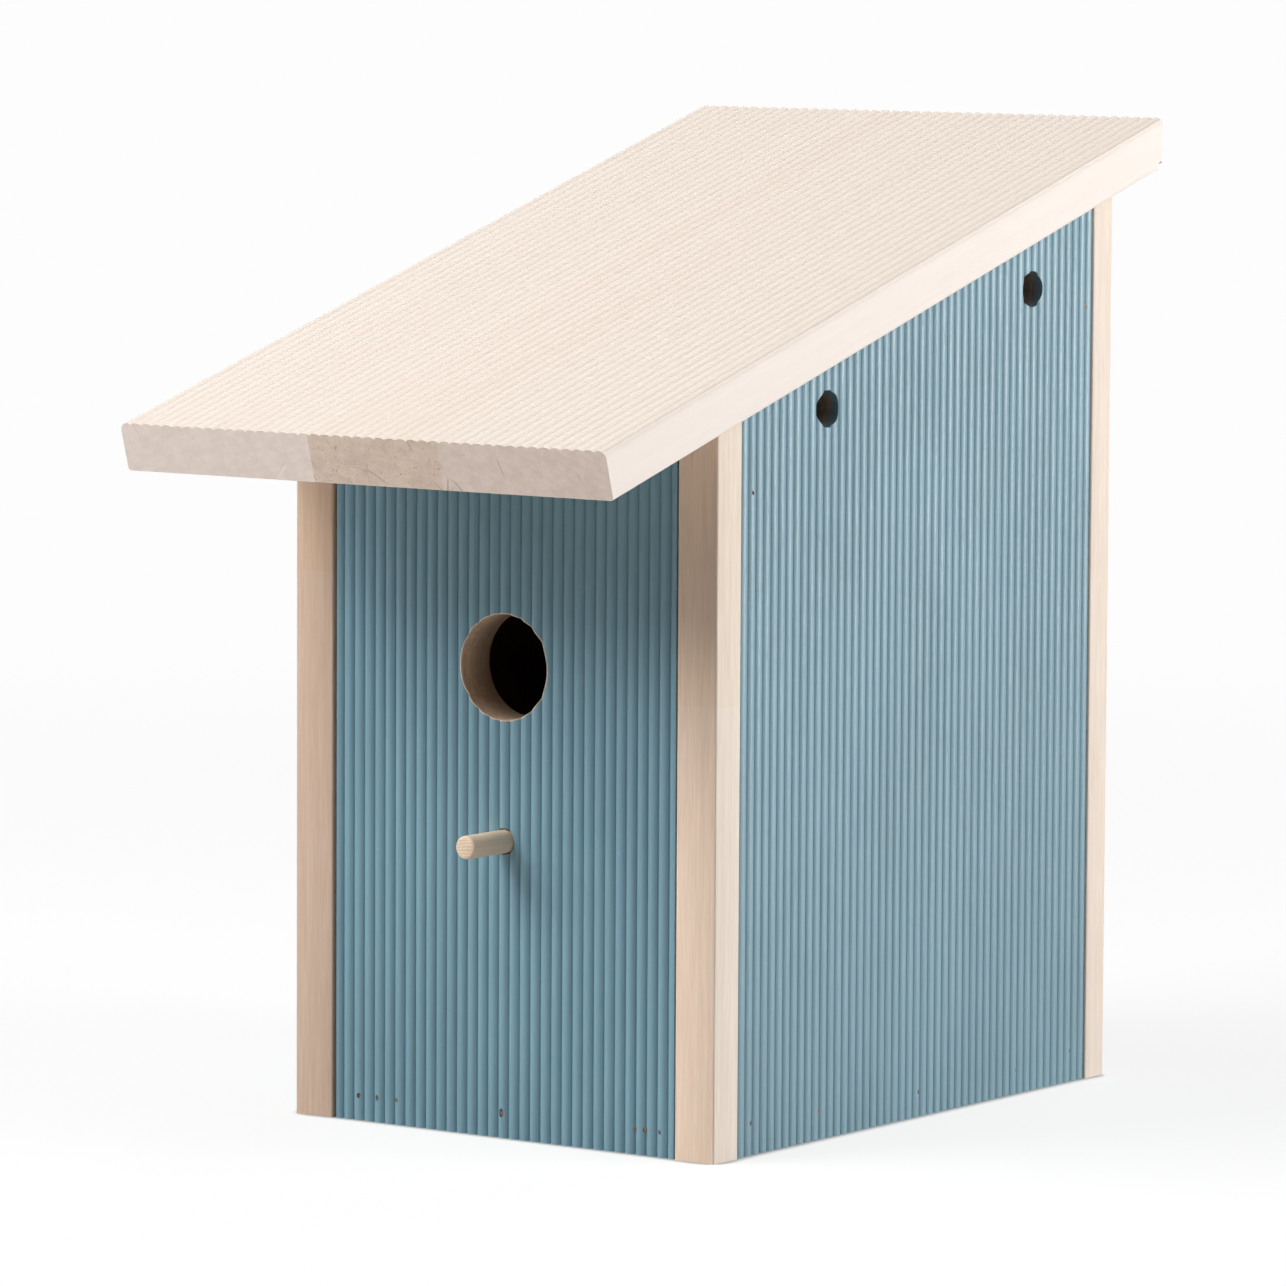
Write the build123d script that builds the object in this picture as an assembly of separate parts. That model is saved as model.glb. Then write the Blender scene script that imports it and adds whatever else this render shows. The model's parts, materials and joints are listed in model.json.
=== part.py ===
"""Nest box for garden birds: ribbed painted walls between bare corner posts, under a lift-off lean-to roof.

Millimetres. +X is to the right seen from the front, +Y runs to the back and +Z is up. The origin is the centre
of the body's footprint, on the surface that it stands on.
"""

from build123d import *
import math
import os

# ---- driving dimensions -------------------------------------------------------------------------------------
BODY_W = 176.0            # over the corner posts, across the front
BODY_D = 242.0            # over the corner posts, front to back
WALL_TOP_FRONT = 248.0    # height of the walls at the front face
SLOPE = 16.4              # the roof's pitch, in degrees, rising to the back

POST_W = 16.0             # corner posts, seen from the front
FRONT_POST_D = 14.0       # front posts, seen from the side
REAR_POST_D = 12.0        # rear posts, seen from the side
POST_EASE = 1.0           # rounding of the posts' long edges

PANEL_T = 16.0            # wall boards, over the crests of their ribs
PANEL_RECESS = 0.8        # the boards' crests lie this far behind the posts' faces
RIB_PITCH = 4.4
RIB_DEPTH = 0.9
SHADOW_GAP = 1.0          # open line between a board and the post beside it
SIDE_SHADOW_GAP = 0.8     # the same line at the front end of a side board
SHADOW_DEPTH = 4.0        # how deep these lines go before board and post meet
INNER_PLAY = 0.2          # between the end boards' inner edges and the side boards

FLOOR_T = 18.0
BATTEN = 15.0             # inner corner battens, square
BATTEN_FRONT_TOP = 238.0
BATTEN_REAR_TOP = 289.0

ENTRANCE_R = 18.0
ENTRANCE_Z = 160.0
PERCH_R = 4.0
PERCH_Z = 101.0
PERCH_REACH = 21.5        # dowel standing out of the ribs' crests
PERCH_SEAT = 13.0         # dowel let into the board
PERCH_PLAY = 0.1
PERCH_RING = 0.5          # opened-out mouth of the dowel's bore
PERCH_RING_DEPTH = 1.0    # how deep the mouth goes below the grooves
VENT_R = 6.3
VENTS_YZ = [(-55.5, 247.5), (70.5, 282.5)]

ROOF_W = 200.0
ROOF_T = 17.0             # over the ribs' crests, square to the board
ROOF_RIBS = 45
ROOF_RIB_DEPTH = 0.7
ROOF_OVERHANG = 80.0      # the roof's top front edge, ahead of the front posts
ROOF_BACK = 13.5          # the roof's upright rear end, behind the rear posts
ROOF_EDGE_R = 3.0         # rounding of the two long top edges
ROOF_EASE = 1.0           # rounding of the two long bottom edges
ROOF_GAP = 0.2            # play under the loose roof
STAVE_JOINTS = [-21.0, 32.0]

CLEAT_D = 20.0            # cross cleats under the roof, front to back
CLEAT_DROP = 12.0         # least depth of a cleat under the roof
CLEAT_PLAY = 1.0          # between a cleat and the walls around it

HANGER_W = 45.0           # batten on the back, flush with the roof's rear end
HANGER_Z = (40.0, 300.0)
WALL_SCREW_R = 2.5
WALL_SCREW_Z = (70.0, 270.0)

BRAD_R = 0.6
BRAD_L = 32.0
BRAD_HEAD_R = 0.9
BRAD_HEAD_T = 0.8
BRAD_SET = 0.4            # heads lie this far below the crests
FRONT_BRADS_X = [-61.3, -53.4, -45.0, -0.5, 54.8, 59.0, 65.3]
BACK_BRADS_X = [-60.0, -30.0, 30.0, 60.0]
END_BRADS_Z = 8.5
SIDE_BRADS_YZ = [(-98.4, 11.0), (-58.0, 9.2), (3.0, 8.5), (65.0, 8.5), (100.0, 11.0)]
SIDE_BRADS_YZ += [(-99.5, 222.0), (105.7, 275.0)]

SCREW_R = 1.75
SCREW_HEAD_R = 3.5
SCREW_L = 25.0
HANGER_SCREWS_XZ = [(x, z) for x in (-14.0, 14.0) for z in (60.0, 280.0)]
CLEAT_SCREWS_X = (-50.0, 50.0)

# ---- derived dimensions -------------------------------------------------------------------------------------
HALF_W = BODY_W / 2
HALF_D = BODY_D / 2
RISE = math.tan(math.radians(SLOPE))
END_HALF = HALF_W - POST_W                          # half the clear width between the posts
SIDE_OUTER = HALF_W - PANEL_RECESS                  # crests of a side board
SIDE_INNER = SIDE_OUTER - PANEL_T
END_OUTER = HALF_D - PANEL_RECESS                   # crests of an end board
END_INNER = END_OUTER - PANEL_T
SIDE_FRONT = -HALF_D + FRONT_POST_D
SIDE_REAR = HALF_D - REAR_POST_D
HANGER_BACK = HALF_D + ROOF_BACK
TALL = 400.0                                        # more than the height of anything here
OVERCUT = 1.0                                       # how far a boring tool runs out of the wood


def wall_top(y):
    """Height of the sloping top of the walls at a distance y behind the centre."""
    return WALL_TOP_FRONT + (y + HALF_D) * RISE


def cut_to_pitch(solid):
    """Cuts a wall part that is too tall off along the slope of the walls' tops."""
    slope = Plane(
        origin=(0, -HALF_D, WALL_TOP_FRONT),
        x_dir=(1, 0, 0),
        z_dir=(0, -math.sin(math.radians(SLOPE)), math.cos(math.radians(SLOPE))),
    )
    return split(solid, bisect_by=slope, keep=Keep.BOTTOM)


def ribs(start, stop, pitch, phase, depth, base):
    """A row of half-round ribs as arcs from start to stop. Grooves lie at base, crests depth above it."""
    radius = ((pitch / 2) ** 2 + depth**2) / (2 * depth)

    def height(u):
        """Height of the ribs' outline at u."""
        from_crest = (u - phase) % pitch - pitch / 2
        return base + depth - radius + math.sqrt(radius**2 - from_crest**2)

    first = math.floor((start - phase) / pitch) + 1
    last = math.ceil((stop - phase) / pitch) - 1
    bounds = [start] + [phase + k * pitch for k in range(first, last + 1)] + [stop]
    ends = [height(start)] + [base] * (len(bounds) - 2) + [height(stop)]
    arcs = []
    for a, b, low, high in zip(bounds, bounds[1:], ends, ends[1:]):
        middle = (a + b) / 2
        arcs.append(ThreePointArc((a, low), (middle, height(middle)), (b, high)))
    return arcs


def end_board(post_depth):
    """Front or back wall, drawn with its crests towards +Y, before its holes. It steps in beside the posts."""
    visible = END_HALF - SHADOW_GAP
    shoulder = END_OUTER - SHADOW_DEPTH
    behind = HALF_D - post_depth
    inner = SIDE_INNER - INNER_PLAY
    face = ribs(-visible, visible, RIB_PITCH, RIB_PITCH / 2, RIB_DEPTH, END_OUTER - RIB_DEPTH)
    left, right = face[0] @ 0, face[-1] @ 1
    steps = [(END_HALF, shoulder), (END_HALF, behind), (inner, behind), (inner, END_INNER)]
    outline = [right, Vector(visible, shoulder)] + [Vector(*p) for p in steps]
    outline += [Vector(-v.X, v.Y) for v in reversed(outline[1:])] + [left]
    profile = make_face(Wire(face + [Line(a, b) for a, b in zip(outline, outline[1:])]))
    return extrude(profile, amount=TALL)


def through_y(radius, x, z, y0, y1):
    """A round bar along Y, for boring holes and for dowels."""
    bar = Cylinder(radius, y1 - y0, align=(Align.CENTER, Align.CENTER, Align.MIN))
    return Pos(x, y0, z) * Rot(X=-90) * bar


def front_panel():
    """The front wall with its entrance and the stepped blind bore of the perch."""
    board = cut_to_pitch(Rot(Z=180) * end_board(FRONT_POST_D))
    outside = -HALF_D - OVERCUT
    mouth = -END_OUTER + RIB_DEPTH + PERCH_RING_DEPTH
    board -= through_y(ENTRANCE_R, 0, ENTRANCE_Z, outside, -END_INNER + OVERCUT)
    board -= through_y(PERCH_R + PERCH_PLAY, 0, PERCH_Z, outside, -END_OUTER + PERCH_SEAT)
    return board - through_y(PERCH_R + PERCH_RING, 0, PERCH_Z, outside, mouth)


def back_panel():
    """The back wall with the clearance holes for the two wall screws."""
    board = cut_to_pitch(end_board(REAR_POST_D))
    for z in WALL_SCREW_Z:
        board -= through_y(WALL_SCREW_R, 0, z, END_INNER - OVERCUT, HALF_D + OVERCUT)
    return board


def side_panel(side):
    """A side wall, on the right for side 1 and on the left for side -1."""
    front = SIDE_FRONT + SIDE_SHADOW_GAP
    face = ribs(front, SIDE_REAR, RIB_PITCH, 0.0, RIB_DEPTH, SIDE_OUTER - RIB_DEPTH)
    start, stop = face[0] @ 0, face[-1] @ 1
    outline = [
        stop,
        Vector(SIDE_REAR, SIDE_INNER),
        Vector(SIDE_FRONT, SIDE_INNER),
        Vector(SIDE_FRONT, SIDE_OUTER - SHADOW_DEPTH),
        Vector(front, SIDE_OUTER - SHADOW_DEPTH),
        start,
    ]
    profile = make_face(Wire(face + [Line(a, b) for a, b in zip(outline, outline[1:])]))
    board = extrude(profile, amount=TALL)              # ribs face +Y and the board's length lies along X
    board = mirror(Rot(Z=-90) * board, about=Plane.XZ)  # ribs face +X and the front is at -Y
    board = cut_to_pitch(board)
    for y, z in VENTS_YZ:
        vent = Cylinder(VENT_R, PANEL_T + 2 * OVERCUT, rotation=(0, 90, 0))
        board -= Pos(SIDE_INNER + PANEL_T / 2, y, z) * vent
    return board if side > 0 else mirror(board, about=Plane.YZ)


def post(side, end):
    """A corner post: side is -1 left or 1 right, end is -1 front or 1 rear."""
    depth = FRONT_POST_D if end < 0 else REAR_POST_D
    stick = Box(POST_W, depth, TALL, align=(Align.CENTER, Align.CENTER, Align.MIN))
    stick = fillet(stick.edges().filter_by(Axis.Z), POST_EASE)
    return cut_to_pitch(Pos(side * (HALF_W - POST_W / 2), end * (HALF_D - depth / 2), 0) * stick)


def floor_board():
    """The floor, which fills the body between its four walls."""
    width = 2 * (SIDE_INNER - INNER_PLAY)
    return Box(width, 2 * END_INNER, FLOOR_T, align=(Align.CENTER, Align.CENTER, Align.MIN))


def inner_batten(side, end):
    """A square batten in an inner corner, standing on the floor."""
    top = BATTEN_FRONT_TOP if end < 0 else BATTEN_REAR_TOP
    stick = Box(BATTEN, BATTEN, top - FLOOR_T, align=(Align.CENTER, Align.CENTER, Align.MIN))
    return Pos(side * (SIDE_INNER - BATTEN / 2), end * (END_INNER - BATTEN / 2), FLOOR_T) * stick


def perch():
    """The dowel under the entrance."""
    return through_y(PERCH_R, 0, PERCH_Z, -END_OUTER - PERCH_REACH, -END_OUTER + PERCH_SEAT - PERCH_PLAY)


def hanging_batten():
    """The upright batten on the back that carries the box on a wall."""
    thick = HANGER_BACK - END_OUTER
    tall = HANGER_Z[1] - HANGER_Z[0]
    board = Box(HANGER_W, thick, tall, align=(Align.CENTER, Align.MIN, Align.MIN))
    board = Pos(0, END_OUTER, HANGER_Z[0]) * board
    for z in WALL_SCREW_Z:
        board -= through_y(WALL_SCREW_R, 0, z, END_OUTER - OVERCUT, HANGER_BACK + OVERCUT)
    return board


def roof_board():
    """The whole roof board: ribbed top, square front end and a rear end that stands upright at the back."""
    half = ROOF_W / 2
    ribbed = half - ROOF_EDGE_R
    pitch = ROOF_W / ROOF_RIBS
    face = ribs(-ribbed, ribbed, pitch, pitch / 2, ROOF_RIB_DEPTH, ROOF_T - ROOF_RIB_DEPTH)
    left, right = face[0] @ 0, face[-1] @ 1
    drop = right.Y - ROOF_EDGE_R
    turn = (1 - math.sqrt(0.5)) * ROOF_EDGE_R
    ease = (1 - math.sqrt(0.5)) * ROOF_EASE
    edges = [
        ThreePointArc(right, (half - turn, right.Y - turn), (half, drop)),
        Line((half, drop), (half, ROOF_EASE)),
        ThreePointArc((half, ROOF_EASE), (half - ease, ease), (half - ROOF_EASE, 0)),
        Line((half - ROOF_EASE, 0), (ROOF_EASE - half, 0)),
        ThreePointArc((ROOF_EASE - half, 0), (ease - half, ease), (-half, ROOF_EASE)),
        Line((-half, ROOF_EASE), (-half, drop)),
        ThreePointArc((-half, drop), (turn - half, left.Y - turn), left),
    ]
    board = extrude(Plane.XZ * make_face(Wire(face + edges)), amount=-TALL)
    front = -HALF_D - ROOF_OVERHANG + ROOF_T * math.sin(math.radians(SLOPE))
    board = Pos(0, front, wall_top(front) + ROOF_GAP) * Rot(X=SLOPE) * board
    plumb = Plane(origin=(0, HANGER_BACK, 0), x_dir=(1, 0, 0), z_dir=(0, 1, 0))
    return split(board, bisect_by=plumb, keep=Keep.BOTTOM)


def roof_staves():
    """The roof board's three glued staves, from left to right."""
    staves, rest = [], roof_board()
    for x in STAVE_JOINTS:
        joint = Plane(origin=(x, 0, 0), x_dir=(0, 1, 0), z_dir=(1, 0, 0))
        staves.append(split(rest, bisect_by=joint, keep=Keep.BOTTOM))
        rest = split(rest, bisect_by=joint, keep=Keep.TOP)
    return staves + [rest]


def cleat_bottom(end):
    """Height of a roof cleat's flat underside."""
    low_edge = end * (END_INNER - CLEAT_PLAY) - (CLEAT_D if end > 0 else 0)
    return wall_top(low_edge) - CLEAT_DROP


def roof_cleat(end):
    """A cross cleat under the roof, just inside the front or back wall, which keeps the roof in its place."""
    width = 2 * (SIDE_INNER - CLEAT_PLAY)
    stick = Box(width, CLEAT_D, TALL, align=(Align.CENTER, Align.CENTER, Align.MIN))
    middle = end * (END_INNER - CLEAT_PLAY - CLEAT_D / 2)
    stick = cut_to_pitch(Pos(0, middle, cleat_bottom(end) - ROOF_GAP) * stick)
    return Pos(0, 0, ROOF_GAP) * stick


def brad():
    """A headed wire nail, pointing down from the origin."""
    seat = (Align.CENTER, Align.CENTER, Align.MAX)
    return Cylinder(BRAD_R, BRAD_L, align=seat) + Cylinder(BRAD_HEAD_R, BRAD_HEAD_T, align=seat)


def screw():
    """A countersunk wood screw, pointing down from the origin."""
    seat = (Align.CENTER, Align.CENTER, Align.MAX)
    head = Cone(SCREW_R, SCREW_HEAD_R, SCREW_HEAD_R - SCREW_R, align=seat)
    return Cylinder(SCREW_R, SCREW_L, align=seat) + head


def driven(fastener, places, outward):
    """A group of the same fastener, each head at a place and facing outward."""
    return Compound(children=[Plane(origin=p, z_dir=outward).location * fastener() for p in places])


def side_brads(side):
    """The nails of a side wall, into the floor and the inner battens."""
    head = side * (SIDE_OUTER - BRAD_SET)
    return driven(brad, [(head, y, z) for y, z in SIDE_BRADS_YZ], (side, 0, 0))


def end_brads(end, xs):
    """The nails of the front or back wall, into the floor."""
    head = end * (END_OUTER - BRAD_SET)
    return driven(brad, [(x, head, END_BRADS_Z) for x in xs], (0, end, 0))


def cleat_screws():
    """The screws that hold the cleats up against the roof."""
    places = []
    for end in (-1, 1):
        middle = end * (END_INNER - CLEAT_PLAY - CLEAT_D / 2)
        places += [(x, middle, cleat_bottom(end)) for x in CLEAT_SCREWS_X]
    return driven(screw, places, (0, 0, -1))


def build():
    """Every piece of the nest box by name."""
    sides = {"left": -1, "right": 1}
    ends = {"front": -1, "rear": 1}
    parts = {
        "front_panel": front_panel(),
        "back_panel": back_panel(),
        "floor_board": floor_board(),
        "perch": perch(),
        "hanging_batten": hanging_batten(),
        "hanging_batten_screws": driven(
            screw, [(x, HANGER_BACK, z) for x, z in HANGER_SCREWS_XZ], (0, 1, 0)
        ),
        "front_brads": end_brads(-1, FRONT_BRADS_X),
        "back_brads": end_brads(1, BACK_BRADS_X),
        "roof_cleat_screws": cleat_screws(),
    }
    for side, sx in sides.items():
        parts[f"{side}_panel"] = side_panel(sx)
        parts[f"{side}_brads"] = side_brads(sx)
        for end, sy in ends.items():
            parts[f"{end}_{side}_post"] = post(sx, sy)
            parts[f"{end}_{side}_batten"] = inner_batten(sx, sy)
    for end, sy in ends.items():
        parts[f"roof_cleat_{end}"] = roof_cleat(sy)
    for name, stave in zip(("left", "middle", "right"), roof_staves()):
        parts[f"roof_stave_{name}"] = stave
    return parts


os.makedirs("parts", exist_ok=True)
for node, shape in build().items():
    export_step(shape, f"parts/{node}.step")
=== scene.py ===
"""Looks of the nest box: ribbed painted walls, bare posts, a roof of three staves, fasteners and studio."""

import enum
import json
import logging
import math
import random
from dataclasses import dataclass, field
from typing import Callable, Iterable, Sequence

import bmesh
import bpy
from mathutils import Matrix, Vector


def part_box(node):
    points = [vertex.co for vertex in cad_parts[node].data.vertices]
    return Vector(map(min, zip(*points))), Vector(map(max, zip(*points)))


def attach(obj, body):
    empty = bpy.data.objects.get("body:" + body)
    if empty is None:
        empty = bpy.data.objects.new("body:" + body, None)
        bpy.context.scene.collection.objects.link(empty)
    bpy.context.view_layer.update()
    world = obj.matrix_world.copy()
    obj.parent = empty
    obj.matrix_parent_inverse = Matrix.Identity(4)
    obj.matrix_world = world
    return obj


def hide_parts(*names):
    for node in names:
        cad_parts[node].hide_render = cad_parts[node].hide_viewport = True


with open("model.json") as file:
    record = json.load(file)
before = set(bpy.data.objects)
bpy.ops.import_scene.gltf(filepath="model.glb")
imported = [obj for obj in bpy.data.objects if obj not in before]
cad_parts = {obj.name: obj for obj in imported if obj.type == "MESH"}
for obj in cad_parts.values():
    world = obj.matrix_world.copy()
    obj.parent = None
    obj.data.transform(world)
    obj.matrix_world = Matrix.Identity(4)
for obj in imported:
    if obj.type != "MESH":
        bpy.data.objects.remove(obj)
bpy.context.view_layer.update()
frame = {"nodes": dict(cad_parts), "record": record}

log = logging.getLogger("nest_box")

MM = 0.001
SLOPE = math.radians(16.4)
RIB_PITCH = 4.4 * MM
RIB_DEPTH = 0.9 * MM
SHADOW_GAP = 1.0 * MM          # the gap between the ribs of the front or back wall and the posts
SHADOW_DEPTH = 4.0 * MM        # how deep that gap goes, and the gap beside the side walls' ribs
SMOOTH_BELOW = math.radians(32)
WELD = 1e-6                    # vertices closer than this are one
SLOTS = 4                      # material indices that a carved piece may use
BORED, SAWN, DENTED = 1, 2, 3  # those of a wall's holes, inner face and nail dents
BORE_LENGTH = 50.0 * MM        # the tools that bore holes are longer than any board is thick
ENTRANCE_R = 18.0 * MM
VENT_R = 6.3 * MM
WALL_SCREW_R = 2.5 * MM
WHITE = (0.982, 0.982, 0.982)  # the surround and the floor as the camera sees them
Colour = tuple[float, float, float]
Socket = bpy.types.NodeSocket


class Facing(enum.Enum):
    """Which way a wall's ribs face, as a turn about Z from facing the back."""

    BACK = 0.0
    FRONT = math.pi
    RIGHT = -math.pi / 2
    LEFT = math.pi / 2

    @property
    def turn(self) -> Matrix:
        """The rotation that brings a wall drawn with its ribs towards +Y to its place."""
        return Matrix.Rotation(self.value, 4, "Z")


# ---- node trees ----


class Graph:
    """A node tree with short calls for adding and joining nodes."""

    def __init__(self, tree: bpy.types.NodeTree) -> None:
        """Takes the tree to work on.

        Args:
            tree: The material's or group's node tree.
        """
        self.tree = tree

    def node(self, kind: str, **settings: object) -> bpy.types.Node:
        """Adds a node.

        Args:
            kind: The node's type, such as ShaderNodeTexNoise.
            **settings: Values for the node's own properties.

        Returns:
            The new node.
        """
        made = self.tree.nodes.new(kind)
        for name, value in settings.items():
            setattr(made, name, value)
        return made

    def feed(self, socket: Socket, value: object) -> None:
        """Links a socket to another, or sets it to a plain value.

        Args:
            socket: The input socket.
            value: An output socket, a number, a vector or a colour.
        """
        if isinstance(value, bpy.types.NodeSocket):
            self.tree.links.new(value, socket)
        elif isinstance(value, tuple) and socket.type == "RGBA":
            socket.default_value = (*value, 1.0)
        else:
            socket.default_value = value

    def math(self, operation: str, a: object, b: object = 0.0, clamp: bool = False) -> Socket:
        """Adds a Math node.

        Args:
            operation: The node's operation.
            a: The first value or socket.
            b: The second value or socket.
            clamp: Whether the result is held between 0 and 1.

        Returns:
            The result's socket.
        """
        made = self.node("ShaderNodeMath", operation=operation, use_clamp=clamp)
        self.feed(made.inputs[0], a)
        self.feed(made.inputs[1], b)
        return made.outputs[0]

    def vector(self, operation: str, a: object, b: object = None, result: str = "Vector") -> Socket:
        """Adds a Vector Math node.

        Args:
            operation: The node's operation.
            a: The first vector or socket.
            b: The second vector or socket, or None.
            result: Which of the node's outputs to return.

        Returns:
            The result's socket.
        """
        made = self.node("ShaderNodeVectorMath", operation=operation)
        self.feed(made.inputs[0], a)
        if b is not None:
            self.feed(made.inputs[1], b)
        return made.outputs[result]

    def parts(self, vector: Socket) -> bpy.types.bpy_prop_collection:
        """Splits a vector.

        Args:
            vector: The vector's socket.

        Returns:
            The X, Y and Z outputs.
        """
        made = self.node("ShaderNodeSeparateXYZ")
        self.feed(made.inputs[0], vector)
        return made.outputs

    def step(self, value: object, low: float, high: float) -> Socket:
        """Adds a soft step.

        Args:
            value: The value or socket.
            low: Where the step is at 0.
            high: Where it is at 1, which may lie below low.

        Returns:
            The step's socket.
        """
        made = self.node("ShaderNodeMapRange", interpolation_type="SMOOTHSTEP")
        self.feed(made.inputs["Value"], value)
        self.feed(made.inputs["From Min"], low)
        self.feed(made.inputs["From Max"], high)
        return made.outputs["Result"]

    def mix(self, factor: object, a: object, b: object, blend: str = "MIX") -> Socket:
        """Mixes two colours.

        Args:
            factor: How much of b shows.
            a: The colour underneath.
            b: The colour on top.
            blend: The blend type.

        Returns:
            The mixed colour's socket.
        """
        made = self.node("ShaderNodeMix", data_type="RGBA", blend_type=blend)
        self.feed(made.inputs["Factor"], factor)
        self.feed(made.inputs[6], a)
        self.feed(made.inputs[7], b)
        return made.outputs[2]

    def stain(self, colour: object, mask: object, amount: float, top: object) -> Socket:
        """Lays a colour over another where a mask is high.

        Args:
            colour: The colour underneath.
            mask: Where the top colour shows.
            amount: How much of it shows there.
            top: The colour on top.

        Returns:
            The stained colour's socket.
        """
        return self.mix(self.math("MULTIPLY", mask, amount), colour, top)

    def noise(self, vector: Socket, scale: float, detail: float = 3.0, rough: float = 0.55) -> Socket:
        """Adds a Noise texture.

        Args:
            vector: The coordinates.
            scale: The pattern's scale.
            detail: How many octaves it has.
            rough: How strong the finer octaves are.

        Returns:
            The socket of its value, which is centred on a half.
        """
        made = self.node("ShaderNodeTexNoise")
        self.feed(made.inputs["Vector"], vector)
        self.feed(made.inputs["Scale"], scale)
        self.feed(made.inputs["Detail"], detail)
        self.feed(made.inputs["Roughness"], rough)
        return made.outputs["Fac"]

    def place(
        self,
        vector: Socket,
        scale: Sequence[float] = (1, 1, 1),
        turn: Sequence[float] = (0, 0, 0),
        shift: Sequence[float] = (0, 0, 0),
    ) -> Socket:
        """Shifts, turns and then stretches a pattern's coordinates.

        Args:
            vector: The coordinates.
            scale: The stretch along each axis, after the turn.
            turn: The turn about X, Y and Z, in radians.
            shift: The shift, before the turn.

        Returns:
            The new coordinates.
        """
        turned = self.node("ShaderNodeMapping")
        self.feed(turned.inputs["Vector"], vector)
        self.feed(turned.inputs["Location"], shift)
        self.feed(turned.inputs["Rotation"], turn)
        return self.vector("MULTIPLY", turned.outputs["Vector"], scale)

    def bump(self, height: object, strength: float, distance: float, under: object = None) -> Socket:
        """Adds a Bump node.

        Args:
            height: The height, in units of distance.
            strength: How strongly it shows.
            distance: The height of 1, in metres.
            under: Another bump's normal to build on.

        Returns:
            The normal's socket.
        """
        made = self.node("ShaderNodeBump")
        self.feed(made.inputs["Strength"], strength)
        self.feed(made.inputs["Distance"], distance)
        self.feed(made.inputs["Height"], height)
        if under is not None:
            self.feed(made.inputs["Normal"], under)
        return made.outputs["Normal"]


def group(name: str, inputs: dict[str, str], outputs: dict[str, str]) -> tuple[bpy.types.NodeTree, Graph]:
    """Makes an empty shader node group.

    Args:
        name: The group's name.
        inputs: The type of each input socket, by name.
        outputs: The type of each output socket, by name.

    Returns:
        The group and a graph on it.
    """
    tree = bpy.data.node_groups.new(name, "ShaderNodeTree")
    for way, sockets in (("INPUT", inputs), ("OUTPUT", outputs)):
        for label, kind in sockets.items():
            tree.interface.new_socket(label, in_out=way, socket_type=f"NodeSocket{kind}")
    return tree, Graph(tree)


def hand_out(g: Graph, **values: Socket) -> None:
    """Feeds a group's outputs.

    Args:
        g: The group's graph.
        **values: The socket for each output.
    """
    out = g.node("NodeGroupOutput")
    for label, value in values.items():
        g.feed(out.inputs[label], value)


def long_grain() -> bpy.types.NodeTree:
    """The figure of a board seen along its fibres, which run along Z. Coordinates are in millimetres.

    Returns:
        A group with Vector, Width and Seed in, and Tone, Lines, Pores and Height out.
    """
    tree, g = group(
        "long_grain",
        {"Vector": "Vector", "Width": "Float", "Seed": "Float"},
        {"Tone": "Float", "Lines": "Float", "Pores": "Float", "Height": "Float"},
    )
    given = g.node("NodeGroupInput").outputs
    across = g.vector("DIVIDE", g.vector("ADD", given["Vector"], given["Seed"]), given["Width"])
    tone = g.noise(g.place(across, scale=(0.16, 0.16, 0.005)), 1.0, 3.0)
    wander = g.noise(g.place(across, scale=(0.05, 0.05, 0.01)), 1.0, 1.0)
    bent = g.vector("ADD", across, g.math("MULTIPLY", wander, 5.0))
    lines = g.noise(g.place(bent, scale=(1.0, 1.0, 0.012)), 1.0, 4.0, 0.62)
    lines = g.step(lines, 0.34, 0.7)
    fine = g.noise(g.place(across, scale=(5.0, 5.0, 0.12)), 1.0, 2.0, 0.6)
    pores = g.step(fine, 0.6, 0.72)
    height = g.math("SUBTRACT", g.math("MULTIPLY", lines, 0.6), g.math("MULTIPLY", pores, 0.5))
    hand_out(g, Tone=tone, Lines=lines, Pores=pores, Height=height)
    return tree


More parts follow.
